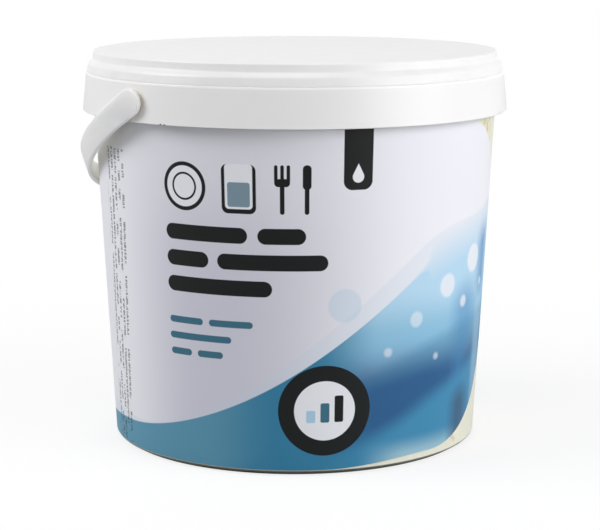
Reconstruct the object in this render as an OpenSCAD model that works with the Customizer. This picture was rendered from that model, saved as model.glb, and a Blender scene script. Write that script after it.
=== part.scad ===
// Dishwasher powder tub: a round moulded pail with a collar, a lift-off lid, a swinging
// bail handle, a wrap-round label, and the powder and measuring scoop that it holds.
// The tub stands on z = 0, its axis is Z, and the middle of its front faces -Y.

/* [Tub] */
// Outer diameter of the wall where it meets the base
base_d = 146.8; // [140:0.2:154]
// Outer diameter of the wall at the lower edge of the collar
wall_d = 160.4; // [154:0.2:163]
// Height of the rim above the resting plane
rim_z = 151.2; // [120:0.2:200]
// Thickness of the moulded wall
wall_t = 1.3; // [0.9:0.1:1.8]
// Thickness of the floor
floor_t = 1.5; // [1:0.1:3]
// Radius of the rounded edge between the base and the wall
base_round = 2.2; // [1:0.1:4]
// Height of the foot ring under the floor
foot_h = 1.1; // [0.6:0.1:3]
// Width of the foot ring
foot_w = 2; // [1:0.1:4]
// Distance from the wall at the base in to the foot ring
foot_inset = 2.4; // [1.5:0.1:5]
// How far the locking bead stands out of the rim
bead_out = 0.6; // [0.3:0.05:0.8]
// Height of the locking bead
bead_h = 1.2; // [0.8:0.1:1.6]

/* [Collar] */
// How far the collar's lower edge stands out from the wall
collar_out = 4.8; // [4.1:0.1:9]
// How much narrower the collar is at its upper edge
collar_draft = 3.2; // [1:0.1:3.6]
// Height of the collar
collar_h = 15.1; // [13:0.1:24]
// Thickness of the collar's skirt and of its top web
collar_t = 1.3; // [0.9:0.1:1.5]
// How far the rim stands above the collar
rim_rise = 3.4; // [3:0.1:6]
// Radius of the collar's upper outer edge
collar_round = 0.5; // [0.3:0.1:1.2]

/* [Lid] */
// Gap between the lid and what it sits over
lid_gap = 0.3; // [0.1:0.05:0.5]
// How far the lid's skirt stands in from the collar below it
lid_inset = 0.2; // [0:0.05:0.4]
// Thickness of the lid's skirt
lid_t = 1.3; // [1:0.05:1.4]
// Thickness of the lid's flat top
lid_top_t = 1.4; // [1:0.1:2.4]
// How much the skirt narrows towards the ledge, on the radius
skirt_draft = 0.5; // [0.1:0.05:0.6]
// Width of the sloped ledge between the skirt and the raised top
ledge_w = 1.4; // [0.8:0.1:1.5]
// Height of the sloped ledge
ledge_h = 1.5; // [1.2:0.1:3]
// Height of the raised top above the ledge
top_rise = 3.3; // [2.4:0.1:6]
// How much the raised top narrows upwards, on the radius
top_draft = 1.6; // [0.4:0.1:2.2]
// Radius of the edge of the flat top
top_round = 0.6; // [0.3:0.1:0.8]
// Depth of the plug ring below the tub's rim
plug_h = 5; // [3:0.1:8]
// Thickness of the plug ring
plug_t = 1.2; // [0.8:0.1:2]
// How far the lid's locking bead stands in from its skirt
lid_bead_in = 0.5; // [0.2:0.05:0.6]

/* [Handle] */
// Turn of the handle's pivots away from the middle of the front, towards the left
handle_turn = 45.5; // [0:0.5:90]
// Height of the pivots above the lower edge of the collar
pivot_up = 7.3; // [6:0.1:9]
// Width of the strap
strap_w = 10.7; // [8:0.1:12]
// Thickness of the strap
strap_t = 1.8; // [1.4:0.1:3]
// How much further the strap's middle reaches than the collar, when it stands upright
reach_out = 9.2; // [7:0.2:24]
// Arc of each side bend of the strap, before the tighter bend round the middle
side_arc = 60; // [45:1:70]
// Chamfer along the edges of the strap
strap_chamfer = 0.45; // [0.2:0.05:0.6]
// How far the grip, round the middle of the strap, stands proud of the rest
grip_out = 0.15; // [0.1:0.05:0.5]
// Diameter of the round pad at each end of the strap
pad_d = 12; // [11:0.1:13]
// How far the pad's face stands proud of the strap
pad_out = 0.2; // [0.1:0.05:0.6]
// Gap between the strap and the widest part of the collar
pad_gap = 0.4; // [0.35:0.05:1]
// Diameter of the spacer between the pad and the collar
spacer_d = 8.4; // [7:0.1:10]
// Diameter of the pivot pin
pin_d = 6; // [4:0.1:6.6]
// Radial clearance of the pin in its hole
pin_gap = 0.05; // [0.02:0.01:0.1]
// Diameter of the snap head behind the collar
head_d = 7.6; // [7:0.1:8.4]
// Width of the slit that lets the snap head squeeze
slit_w = 0.8; // [0.4:0.1:1.2]
// Gap at which the hanging strap rests off the wall, and the head off the neck
rest_gap = 0.3; // [0.2:0.05:0.5]

/* [Label] */
// Thickness of the label film
label_t = 0.15; // [0.1:0.05:0.3]
// Gap between the label film and the wall
label_gap = 0.1; // [0.05:0.05:0.3]
// Height of the label's lower edge above the resting plane
label_low = 3.4; // [3.3:0.1:12]
// Distance from the label's upper edge up to the collar's lower edge
label_drop = 0.6; // [0.5:0.1:12]
// Angle of the label's right-hand end from the middle of the front
label_end = 80; // [60:1:85]
// Bare angle of wall between the label's two ends
label_bare = 26; // [6:1:60]
// Radius of the label's upper corners
label_corner = 34; // [4:0.5:40]
// Radius of the label's wide lower corners
label_foot_corner = 43; // [18:0.5:46]

/* [Contents] */
// Depth of the level powder below the tub's rim
powder_drop = 33.2; // [33.2:0.2:90]
// How far the powder climbs at the wall
powder_bank = 3; // [0.5:0.1:6]
// Width of the bank of powder at the wall
bank_w = 20; // [8:0.5:26]
// Gap round the powder
powder_gap = 0.1; // [0.05:0.05:0.3]
// Outer diameter of the scoop's mouth
scoop_d = 34; // [26:0.5:38]
// Outer diameter of the scoop's base
scoop_base_d = 28; // [20:0.5:34]
// Height of the scoop's cup
scoop_h = 25; // [16:0.5:25]
// Thickness of the scoop's wall and floor
scoop_t = 1; // [0.8:0.1:1.6]
// Length of the scoop's grip, from the cup's axis to its tip
grip_len = 78; // [50:1:84]
// Width of the scoop's grip
grip_w = 13; // [8:0.5:16]
// Thickness of the scoop's grip
grip_t = 1.6; // [1:0.1:2.4]
// Height of the rib under the scoop's grip
grip_rib = 4; // [2:0.5:6]
// Place of the scoop's axis to the right of the tub's axis
scoop_x = 32; // [20:1:34]
// Place of the scoop's axis behind the tub's axis
scoop_y = 26; // [16:1:28]

/* [Hidden] */
$fn = 96;

white = [0.93, 0.93, 0.92];
cream = [0.93, 0.92, 0.84];

base_r = base_d / 2;
wall_r = wall_d / 2;
collar_top_z = rim_z - rim_rise;
collar_z = collar_top_z - collar_h;
collar_r = wall_r + collar_out;
collar_top_r = collar_r - collar_draft / 2;
wall_z = foot_h + base_round;
floor_z = foot_h + floor_t;
// The neck inside the collar goes straight up from the wall's widest point
neck_r = wall_r + 0.05 * wall_t;
neck_in_r = neck_r - wall_t;
foot_r = base_r - foot_inset;
foot_groove = 0.5 * foot_h;

lid_z = collar_top_z + lid_gap;
lid_r = collar_top_r - lid_inset;
ledge_z = lid_z + rim_rise - lid_gap;
step_r = lid_r - skirt_draft - ledge_w;
step_z = ledge_z + ledge_h;
top_z = step_z + top_rise;
top_r = step_r - top_draft;
ceiling_z = rim_z + lid_gap;
plug_r = neck_in_r - lid_gap;
plug_in_r = plug_r - plug_t;

pivot_z = collar_z + pivot_up;
pad_r = pad_d / 2;
strap_reach = collar_r + reach_out;
strap_in_r = collar_r + pad_gap;
strap_r = strap_in_r + strap_t;
spacer_r = spacer_d / 2;
head_r = head_d / 2;

label_high = collar_z - label_drop;
powder_z = rim_z - powder_drop;

// Outer radius of the tub's wall at a height z
function wall_at(z) = base_r + (wall_r - base_r) * (z - wall_z) / (collar_z - wall_z);

// Inner radius of the label at a height z
function label_at(z) = wall_at(z) + label_gap;

// Outer radius of the collar at a height z
function collar_at(z) = collar_r - collar_draft / 2 * (z - collar_z) / collar_h;

// Points of an arc about c, from angle a to angle b
function arc(c, r, a, b, steps) =
    [for (i = [0:steps]) c + r * [cos(a + (b - a) * i / steps), sin(a + (b - a) * i / steps)]];

// The strap is an arch of three arcs that meet smoothly: a wide one at each side and a
// tighter one round the middle.
arch_share = (1 - sin(side_arc)) / cos(side_arc);
side_r = (strap_reach - arch_share * strap_r) / (1 - arch_share);
side_x = strap_r - side_r;
middle_r = side_r + side_x / cos(side_arc);
middle_y = -side_x * tan(side_arc);

// A point of the strap's inner face, t degrees round from the pivot: across and out
function strap_point(t) =
    let (r = (t < side_arc ? side_r : middle_r) - strap_t - grip_out)
    t < side_arc ? [side_x + r * cos(t), r * sin(t)]
    : [r * cos(t), middle_y + r * sin(t)];

// Gap between the wall and a point of the strap, a degrees below level
function point_gap(p, side, a) =
    let (out = p[1] * cos(a) + side * strap_w / 2 * sin(a),
         z = pivot_z - p[1] * sin(a) + side * strap_w / 2 * cos(a))
    z > collar_z ? strap_reach : norm([p[0], out]) - label_at(z) - label_t;

// Smallest gap between the strap and the wall when it hangs a degrees below level
function hang_gap(a) =
    min([for (t = [0:5:90], side = [-1, 0, 1]) point_gap(strap_point(t), side, a)]);

// The angle at which the hanging strap comes to rest against the wall, by halving
function rest_angle(low, high, steps) =
    let (mid = (low + high) / 2)
    steps == 0 ? mid
    : hang_gap(mid) > rest_gap ? rest_angle(mid, high, steps - 1)
    : rest_angle(low, mid, steps - 1);

// Level and straight down, the limits of the search
level_deg = 0;
down_deg = 90;
hang_deg = rest_angle(level_deg, down_deg, 16);

// How far the grip laps over the side bends, in degrees
grip_lap = 0.5;

// The wall, floor and foot of the tub, as half a section
module tub_section() {
    wall_in_z = floor_z + base_round;
    outer = concat(
        [[foot_r - foot_w, 0], [foot_r, 0], [foot_r, foot_h - foot_groove],
         [foot_r - foot_groove, foot_h]],
        arc([base_r - base_round, wall_z], base_round, -90, 0, 8),
        [[wall_r, collar_z], [neck_r, collar_z + wall_t],
         [neck_r, rim_z - bead_h - bead_out], [neck_r + bead_out, rim_z - bead_h],
         [neck_r + bead_out, rim_z - bead_out], [neck_r, rim_z]]);
    inner = concat(
        [[neck_in_r, rim_z], [neck_in_r, collar_z + wall_t],
         [wall_r - wall_t, collar_z]],
        arc([wall_at(wall_in_z) - wall_t - base_round, wall_in_z], base_round, 0, -90, 8),
        [[0, floor_z], [0, foot_h], [foot_r - foot_w, foot_h]]);
    polygon(concat(outer, inner));
}

// The collar: a web round the neck and a skirt that flares downwards
module collar_section() {
    skirt_in = collar_at(collar_top_z - collar_t) - collar_t;
    polygon(concat(
        [[neck_in_r + wall_t / 2, collar_top_z - collar_t], [skirt_in, collar_top_z - collar_t],
         [collar_r - collar_t, collar_z], [collar_r, collar_z]],
        arc([collar_top_r - collar_round, collar_top_z - collar_round], collar_round, 0, 90, 5),
        [[neck_in_r + wall_t / 2, collar_top_z]]));
}

// Turns what lies along +X to the handle's first pivot
module at_pivot() {
    translate([0, 0, pivot_z]) rotate([0, 0, -90 - handle_turn]) children();
}

module tub() {
    color(cream) difference() {
        union() {
            rotate_extrude() tub_section();
            rotate_extrude() collar_section();
        }
        for (side = [0, 180])
            at_pivot() rotate([0, 90, side]) translate([0, 0, neck_r + rest_gap])
                cylinder(r = pin_d / 2 + pin_gap, h = collar_r - neck_r);
    }
}

// Half a section of the lid, from the flat top out and down round the skirt, then back
// in under the channel that sits over the rim, and round the plug ring
module lid_section() {
    bead_z = lid_z + lid_bead_in;
    outer = concat(
        [[0, top_z]],
        arc([top_r - top_round, top_z - top_round], top_round, 90, 15, 5),
        [[step_r, step_z], [step_r + ledge_w, ledge_z], [lid_r, lid_z]]);
    inner = [
        [lid_r - lid_t, lid_z], [lid_r - lid_t - lid_bead_in, bead_z],
        [lid_r - lid_t - lid_bead_in, bead_z + lid_bead_in],
        [lid_r - lid_t - 0.1 * skirt_draft, bead_z + 2 * lid_bead_in],
        [lid_r - lid_t - skirt_draft, ceiling_z - lid_gap], [step_r - lid_gap, ceiling_z],
        [plug_r, ceiling_z], [plug_r, rim_z - plug_h + plug_t / 2],
        [plug_r - plug_t / 2, rim_z - plug_h], [plug_in_r, rim_z - plug_h]];
    underside = concat(
        arc([plug_in_r - lid_top_t, top_z - 2 * lid_top_t], lid_top_t, 0, 90, 6),
        [[0, top_z - lid_top_t]]);
    polygon(concat(outer, inner, underside));
}

module lid() {
    color(white) rotate_extrude() lid_section();
}

// Cross-section of the strap, its outer face at x = 0, with chamfered edges, all of it
// standing out by a margin
module strap_section(out = 0) {
    w = strap_w / 2 + out;
    c = strap_chamfer;
    low = -strap_t - out;
    polygon([[low + c, -w], [out - c, -w], [out, c - w], [out, w - c],
             [out - c, w], [low + c, w], [low, w - c], [low, c - w]]);
}

// One wide side bend of the strap, lying flat, from the pivot at +X
module side_bend() {
    translate([side_x, 0, 0]) rotate_extrude(angle = side_arc)
        translate([side_r, 0]) strap_section();
}

// A pad with its spacer, pin and slit snap head, pointing in from +X
module pivot_end() {
    spacer_in = collar_at(pivot_z - spacer_r) + rest_gap / 2;
    head_in = neck_r + rest_gap;
    head_out = collar_at(pivot_z + head_r) - collar_t - rest_gap / 2
        - pow(head_r, 2) / (2 * collar_top_r);
    difference() {
        union() {
            translate([strap_in_r + pad_out / 2, 0, 0]) rotate([0, 90, 0])
                cylinder(r = pad_r, h = strap_t + pad_out / 2);
            translate([spacer_in, 0, 0]) rotate([0, 90, 0])
                cylinder(r = spacer_r, h = strap_in_r + strap_t / 2 - spacer_in);
            translate([head_in, 0, 0]) rotate([0, 90, 0])
                cylinder(r = pin_d / 2, h = strap_in_r + strap_t / 2 - head_in);
            translate([head_in, 0, 0]) rotate([0, 90, 0])
                cylinder(r = head_r, h = head_out - head_in);
        }
        translate([head_in - slit_w, -head_d, -slit_w / 2])
            cube([head_out - head_in + slit_w, 2 * head_d, slit_w]);
    }
}

module handle() {
    color(white) at_pivot() rotate([180 + hang_deg, 0, 0]) {
        side_bend();
        mirror([1, 0, 0]) side_bend();
        translate([0, middle_y, 0]) rotate([0, 0, side_arc - grip_lap])
            rotate_extrude(angle = 180 - 2 * side_arc + 2 * grip_lap)
                translate([middle_r, 0]) strap_section(grip_out);
        for (side = [0, 180])
            rotate([0, 0, side]) pivot_end();
    }
}

// How far the round of a label's corner runs past the label's edges
corner_cross = 0.4;

// What rounds off one corner of the label: a block less a cylinder, both lying along
// the radius through the corner's centre. Side is 1 at the right-hand end of the label,
// up is 1 at its upper edge. The cylinder crosses the label's edges at a small angle.
module corner_cut(end, side, up) {
    r = up > 0 ? label_corner : label_foot_corner;
    z = up > 0 ? label_high - r : label_low + r;
    edge_z = up > 0 ? label_high : z;
    inset = asin(r / wall_at(z));
    block = (label_at(edge_z) + label_t) * sin(inset) + 2 * corner_cross;
    rotate([0, 0, end - side * inset - 90]) translate([0, 0, z]) difference() {
        translate([base_r - r, side > 0 ? 0 : -block, up > 0 ? 0 : -block])
            cube([2 * r, block, block]);
        translate([base_r - 2 * r, 0, 0]) rotate([0, 90, 0])
            cylinder(r = r + corner_cross, h = 4 * r);
    }
}

module label() {
    span = 360 - label_bare;
    color("white") difference() {
        rotate([0, 0, label_end - 90 - span]) rotate_extrude(angle = span)
            polygon([[label_at(label_low), label_low],
                     [label_at(label_low) + label_t, label_low],
                     [label_at(label_high) + label_t, label_high],
                     [label_at(label_high), label_high]]);
        for (up = [-1, 1]) {
            corner_cut(label_end, 1, up);
            corner_cut(label_end - span, -1, up);
        }
    }
}

module powder() {
    floor_in_z = floor_z + base_round;
    r_low = wall_at(floor_in_z) - wall_t - powder_gap;
    r_high = wall_at(powder_z + powder_bank) - wall_t - powder_gap;
    color([0.95, 0.96, 0.97]) rotate_extrude() polygon(concat(
        [[0, floor_z + powder_gap]],
        arc([r_low - base_round, floor_in_z + powder_gap], base_round, -90, 0, 8),
        [[r_high, powder_z + powder_bank], [r_high - bank_w / 3, powder_z + powder_bank / 2],
         [r_high - bank_w, powder_z], [0, powder_z]]));
}

// The scoop's cup, as half a section
module cup_section() {
    polygon([[0, 0], [scoop_base_d / 2, 0], [scoop_d / 2, scoop_h],
             [scoop_d / 2 - scoop_t, scoop_h], [scoop_base_d / 2 - scoop_t, scoop_t], [0, scoop_t]]);
}

module scoop() {
    reach = grip_len - grip_w / 2;
    start = scoop_d / 2 - scoop_t;
    grip_end = atan2(-scoop_y, -scoop_x);
    color([0.80, 0.87, 0.93]) translate([scoop_x, scoop_y, powder_z]) rotate([0, 0, grip_end]) {
        rotate_extrude() cup_section();
        difference() {
            union() {
                translate([start, -grip_w / 2, scoop_h - grip_t])
                    cube([reach - start, grip_w, grip_t]);
                translate([reach, 0, scoop_h - grip_t]) cylinder(r = grip_w / 2, h = grip_t);
                translate([start, -grip_t / 2, scoop_h - grip_rib])
                    cube([reach - start, grip_t, grip_rib]);
            }
            translate([0, 0, -1]) cylinder(r = scoop_d / 2 - scoop_t / 2, h = scoop_h + 2);
        }
    }
}

tub();
lid();
handle();
label();
powder();
scoop();
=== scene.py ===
"""Looks of a dishwasher powder tub: a round moulded pail with a collar, a lift-off lid, a
bail handle that hangs from the collar, a printed label round the wall, and the powder and
the measuring scoop inside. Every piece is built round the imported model, in its frame: metres,
Z up, the tub standing on z = 0 and the middle of its front facing -Y."""

import logging
import math
from collections.abc import Callable
from dataclasses import dataclass, field
from enum import Enum

import bmesh
import bpy
from mathutils import Matrix, Vector, noise


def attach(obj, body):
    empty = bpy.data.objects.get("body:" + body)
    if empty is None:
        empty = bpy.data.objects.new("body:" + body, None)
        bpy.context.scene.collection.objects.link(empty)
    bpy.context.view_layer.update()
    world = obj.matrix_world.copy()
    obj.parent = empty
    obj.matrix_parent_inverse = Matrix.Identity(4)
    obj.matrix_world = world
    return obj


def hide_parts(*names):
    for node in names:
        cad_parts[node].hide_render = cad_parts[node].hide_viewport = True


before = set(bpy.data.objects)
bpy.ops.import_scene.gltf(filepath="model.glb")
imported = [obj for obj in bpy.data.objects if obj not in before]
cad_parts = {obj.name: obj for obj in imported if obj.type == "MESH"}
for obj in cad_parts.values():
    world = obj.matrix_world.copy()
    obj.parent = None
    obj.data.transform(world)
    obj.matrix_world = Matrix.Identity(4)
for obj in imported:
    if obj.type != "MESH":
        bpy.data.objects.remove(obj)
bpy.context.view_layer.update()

MM = 0.001
FULL_TURN = 2 * math.pi
SAME_POINT = 1e-6
ON_RING = 2e-6
IN_PLANE = 1e-7
PLASTIC_IOR = 1.49
INNER_FACE = "inner_face"
WHITE = (1, 1, 1, 1)
ORIGIN = (0.0, 0.0, 0.0)
log = logging.getLogger("powder_tub")

Mesh = bmesh.types.BMesh
Socket = bpy.types.NodeSocket
Point = tuple[float, float]
Corner = tuple[float, float, float]
Colour = tuple[float, float, float, float]
Feed = Socket | float | tuple[float, ...]


def linear(red: int, green: int, blue: int) -> Colour:
    """Turns a screen colour into the linear colour that a shader takes.

    Args:
        red, green, blue: The screen colour, each from 0 to 255.

    Returns:
        The linear colour, with full alpha.
    """

    def channel(value: int) -> float:
        """Undoes the screen's curve for one channel."""
        share = value / 255
        return share / 12.92 if share <= 0.04045 else ((share + 0.055) / 1.055) ** 2.4

    return (channel(red), channel(green), channel(blue), 1.0)


def smooth_step(low: float, high: float, value: float) -> float:
    """Goes from 0 at low to 1 at high, flat at both ends."""
    t = min(max((value - low) / (high - low), 0.0), 1.0)
    return t * t * (3 - 2 * t)


@dataclass(frozen=True)
class Wall:
    """The tapered wall that the pieces share. Sizes are in millimetres."""

    base_r: float = 73.4
    wide_r: float = 80.2
    low_z: float = 3.3
    collar_z: float = 132.7
    thick: float = 1.3
    neck_r: float = 80.265
    rim_z: float = 151.2

    def radius_at(self, height: float) -> float:
        """Outer radius of the wall at a height."""
        share = (height - self.low_z) / (self.collar_z - self.low_z)
        return self.base_r + (self.wide_r - self.base_r) * share


# Meshes


def rounded(bm: Mesh, edges: list[bmesh.types.BMEdge], size: float, facets: int) -> None:
    """Rounds edges of a mesh, by a radius in millimetres."""
    bmesh.ops.bevel(bm, geom=edges, offset=size * MM, offset_type="OFFSET", segments=facets,
                    profile=0.5, affect="EDGES", material=-1, clamp_overlap=True)


def turned(section: list[Corner], steps: int = 240, facets: int = 3) -> Mesh:
    """Turns an open section once round Z and rounds its corners.

    Args:
        section: Its corners as (radius, height, round) in millimetres. A section that starts
            and ends on the axis gives a closed shape.
        steps: How many steps the turn takes.
        facets: How many facets each round has.

    Returns:
        The new mesh, with its poles closed.
    """
    bm = bmesh.new()
    verts = [bm.verts.new((r * MM, 0, z * MM)) for r, z, _ in section]
    edges = [bm.edges.new(pair) for pair in zip(verts, verts[1:])]
    bmesh.ops.spin(bm, geom=verts + edges, cent=(0, 0, 0), axis=(0, 0, 1), dvec=(0, 0, 0),
                   angle=FULL_TURN, steps=steps, use_merge=True, use_duplicate=False)
    bmesh.ops.remove_doubles(bm, verts=bm.verts, dist=SAME_POINT)
    bmesh.ops.recalc_face_normals(bm, faces=bm.faces)
    for ring_r, ring_z, size in section:
        if not size:
            continue
        ring = [e for e in bm.edges
                if all(abs(v.co.z - ring_z * MM) < ON_RING
                       and abs(v.co.xy.length - ring_r * MM) < ON_RING for v in e.verts)]
        if not ring:
            raise ValueError(f"no edge at radius {ring_r} and height {ring_z}")
        rounded(bm, ring, size, facets)
    return bm


def mesh_of(bm: Mesh, name: str) -> bpy.types.Mesh:
    """Makes the mesh that an object shows.

    Args:
        bm: The mesh as it was modelled, which is freed.
        name: The new mesh's name.

    Returns:
        The new mesh.
    """
    mesh = bpy.data.meshes.new(name)
    bm.to_mesh(mesh)
    bm.free()
    return mesh


def placed(name: str, data: bpy.types.ID) -> bpy.types.Object:
    """Puts a mesh, a lamp or a camera in the scene.

    Args:
        name: The object's name.
        data: What the object shows.

    Returns:
        The new object.
    """
    item = bpy.data.objects.new(name, data)
    bpy.context.scene.collection.objects.link(item)
    return item


class Join(Enum):
    """How two closed shapes are joined."""

    ADD = "UNION"
    CUT = "DIFFERENCE"


def joined(first: Mesh, second: Mesh, how: Join) -> Mesh:
    """Joins two closed meshes into one, and frees both.

    Args:
        first: The mesh that is added to or cut.
        second: The mesh that is added or cut away.
        how: Whether to add or to cut.

    Returns:
        The joined mesh.
    """
    keep, tool = (placed("joining", mesh_of(bm, "joining")) for bm in (first, second))
    cut = keep.modifiers.new("join", "BOOLEAN")
    cut.operation, cut.object, cut.solver = how.value, tool, "EXACT"
    done = bpy.data.meshes.new_from_object(
        keep.evaluated_get(bpy.context.evaluated_depsgraph_get()))
    result = bmesh.new()
    result.from_mesh(done)
    spent = (keep.data, tool.data, done)
    for item in (keep, tool):
        bpy.data.objects.remove(item)
    for mesh in spent:
        bpy.data.meshes.remove(mesh)
    return result


def finished(bm: Mesh, name: str, material: bpy.types.Material, body: str,
             node: str, sharp: float = 32.0) -> bpy.types.Object:
    """Makes a mesh an object that stands for a CAD node and moves with its body.

    Args:
        bm: The mesh, which is freed.
        name: Name of the piece.
        material: Its finish.
        body: The body that it moves with.
        node: The CAD node that it replaces.
        sharp: Angle in degrees above which an edge stays sharp.

    Returns:
        The new object.
    """
    mesh = mesh_of(bm, name)
    mesh.shade_smooth()
    mesh.set_sharp_from_angle(angle=math.radians(sharp))
    mesh.materials.append(material)
    piece = placed(name, mesh)
    weighted = piece.modifiers.new("even normals", "WEIGHTED_NORMAL")
    weighted.keep_sharp = True
    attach(piece, body)
    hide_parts(node)
    log.info("%s: %d faces", name, len(mesh.polygons))
    return piece


# Shader nodes


class Sheet:
    """One node tree that nodes are added to and linked in."""

    def __init__(self, tree: bpy.types.NodeTree) -> None:
        """Empties the tree."""
        self.tree = tree
        tree.nodes.clear()

    def add(self, kind: str, sockets: dict | None = None, **settings: object) -> bpy.types.Node:
        """Adds a node.

        Args:
            kind: The node's type, without the words Shader and Node.
            sockets: Values and links of its inputs, by name or number.
            settings: Values of its properties.

        Returns:
            The new node.
        """
        node = self.tree.nodes.new(kind if kind.startswith("Node") else "ShaderNode" + kind)
        for key, value in settings.items():
            setattr(node, key, value)
        for key, value in (sockets or {}).items():
            if isinstance(value, Socket):
                self.tree.links.new(value, node.inputs[key])
            else:
                node.inputs[key].default_value = value
        return node

    def math(self, operation: str, *values: Feed, clamp: bool = False) -> Socket:
        """Adds a Math node and returns its result."""
        return self.add("Math", dict(enumerate(values)), operation=operation,
                        use_clamp=clamp).outputs[0]

    def times(self, first: Feed, second: Feed) -> Socket:
        """Multiplies two values, or two masks to have what both cover."""
        return self.math("MULTIPLY", first, second)

    def vector(self, operation: str, *values: Feed) -> Socket:
        """Adds a Vector Math node and returns its result."""
        node = self.add("VectorMath", dict(enumerate(values)), operation=operation)
        return node.outputs[1 if operation == "LENGTH" else 0]

    def point(self, x: Feed, y: Feed = 0.0) -> Socket:
        """Joins two numbers in a vector."""
        return self.add("CombineXYZ", {0: x, 1: y}).outputs[0]

    def numbers(self, vector: Feed) -> tuple[Socket, Socket, Socket]:
        """Splits a vector into its three numbers."""
        return tuple(self.add("SeparateXYZ", {0: vector}).outputs)

    def own_place(self) -> Socket:
        """Adds the place in the object's own coordinates."""
        return self.add("TexCoord").outputs["Object"]

    def mix(self, share: Feed, first: Feed, second: Feed) -> Socket:
        """Mixes two colours and returns the result."""
        return self.add("Mix", {0: share, 6: first, 7: second}, data_type="RGBA").outputs[2]

    def spread(self, value: Feed, low: float, high: float, new_low: float = 0.0,
               new_high: float = 1.0, kind: str = "SMOOTHSTEP") -> Socket:
        """Maps a range of values to another range and returns the result."""
        return self.add("MapRange", {0: value, 1: low, 2: high, 3: new_low, 4: new_high},
                        interpolation_type=kind).outputs[0]

    def fall(self, value: Feed, low: float, high: float) -> Socket:
        """Goes from 1 at low to 0 at high, flat at both ends."""
        return self.spread(value, low, high, 1.0, 0.0)

    def edge(self, inside: Feed, steep: Feed) -> Socket:
        """Turns the distance inside an edge into a mask that is half at the edge."""
        return self.math("MULTIPLY_ADD", inside, steep, 0.5, clamp=True)

    def noise(self, place: Feed, scale: float, detail: float = 2.0) -> Socket:
        """Adds a Noise texture and returns its value."""
        return self.add("TexNoise", {"Vector": place, "Scale": scale,
                                     "Detail": detail}).outputs[0]

    def surface(self, colour: Feed, rough: Feed, height: Feed, **more: Feed) -> None:
        """Ends a material with its shader, its relief and its output.

        Args:
            colour: Its base colour.
            rough: Its roughness.
            height: Height of its relief, in metres.
            more: The shader's other inputs, with _ for a space.
        """
        bump = self.add("Bump", {"Height": height, "Distance": 1.0, "Strength": 1.0})
        inputs = {"Base Color": colour, "Roughness": rough, "Normal": bump.outputs[0]}
        inputs.update({key.replace("_", " "): value for key, value in more.items()})
        shader = self.add("BsdfPrincipled", inputs)
        self.add("OutputMaterial", {"Surface": shader.outputs[0]})


Painter = Callable[[Sheet, Feed], Feed]


def new_finish(name: str) -> tuple[bpy.types.Material, Sheet]:
    """Makes an empty material.

    Args:
        name: The material's name.

    Returns:
        The material and the sheet of its nodes.
    """
    material = bpy.data.materials.new(name)
    material.use_nodes = True
    return material, Sheet(material.node_tree)


class Effect:
    """A shader node group with named inputs and outputs, built once and used by name."""

    def __init__(self, name: str, takes: dict[str, object], gives: dict[str, str],
                 build: Callable[[Sheet, dict], dict]) -> None:
        """Builds the group.

        Args:
            name: The group's name.
            takes: Its inputs' first values, by name: a number, or three for a vector.
            gives: Its outputs' kinds, Float, Color or Vector, by name.
            build: Adds its nodes, given the sheet and the inputs, and returns what each
                output shows.
        """
        self.tree = bpy.data.node_groups.new(name, "ShaderNodeTree")
        for label, first in takes.items():
            kind = "Vector" if isinstance(first, tuple) else "Float"
            socket = self.tree.interface.new_socket(
                name=label, in_out="INPUT", socket_type="NodeSocket" + kind)
            socket.default_value = first
        for label, kind in gives.items():
            self.tree.interface.new_socket(
                name=label, in_out="OUTPUT", socket_type="NodeSocket" + kind)
        sheet = Sheet(self.tree)
        inputs = sheet.add("NodeGroupInput")
        results = build(sheet, {label: inputs.outputs[label] for label in takes})
        sheet.add("NodeGroupOutput", results)

    def use(self, sheet: Sheet, **sockets: Feed) -> bpy.types.Node:
        """Places the group in a material.

        Args:
            sheet: The material's sheet.
            sockets: Values and links of the group's inputs, with _ for a space.

        Returns:
            The group node.
        """
        named = {key.replace("_", " "): value for key, value in sockets.items()}
        return sheet.add("Group", named, node_tree=self.tree)


def build_place(sheet: Sheet, _: dict) -> dict:
    """Place on the round wall: the angle from the front and the height. The angle jumps on
    the bare strip, so that it runs on evenly under the whole label.

    Args:
        sheet: The group's sheet.
        _: The group's inputs, of which it has none.

    Returns:
        What each output shows.
    """
    seam = math.radians(93)
    x, y, z = sheet.numbers(sheet.own_place())
    angle = sheet.math("ARCTAN2", x, sheet.times(y, -1.0))
    behind = sheet.math("GREATER_THAN", angle, seam)
    angle = sheet.math("MULTIPLY_ADD", behind, -FULL_TURN, angle)
    return {"Place": sheet.point(angle, z), "Angle": angle, "Height": z,
            "Radius": sheet.vector("LENGTH", sheet.point(x, y))}


def build_grain(sheet: Sheet, given: dict) -> dict:
    """Skin of moulded plastic: slow waves, a fine grain and a few faint rubs.

    Args:
        sheet: The group's sheet.
        given: The group's inputs, by name.

    Returns:
        What each output shows.
    """
    wave_scale, grain_scale, patch_scale, cloud_scale = 34.0, 2600.0, 60.0, 90.0
    rub_stretch = (260.0, 260.0, 1500.0)
    place = sheet.own_place()
    height = sheet.times(sheet.noise(place, wave_scale, 1.0), given["Waves"])
    grain = sheet.noise(place, grain_scale)
    height = sheet.math("MULTIPLY_ADD", grain, given["Grain"], height)
    long_way = sheet.vector("MULTIPLY", place, rub_stretch)
    rubs = sheet.spread(sheet.noise(long_way, 1.0, 3.0), 0.62, 0.74)
    patches = sheet.spread(sheet.noise(place, patch_scale), 0.5, 0.7)
    rubs = sheet.times(sheet.times(rubs, patches), given["Rubs"])
    return {"Height": height, "Rubbed": rubs, "Cloudy": sheet.noise(place, cloud_scale, 3.0)}


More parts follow.
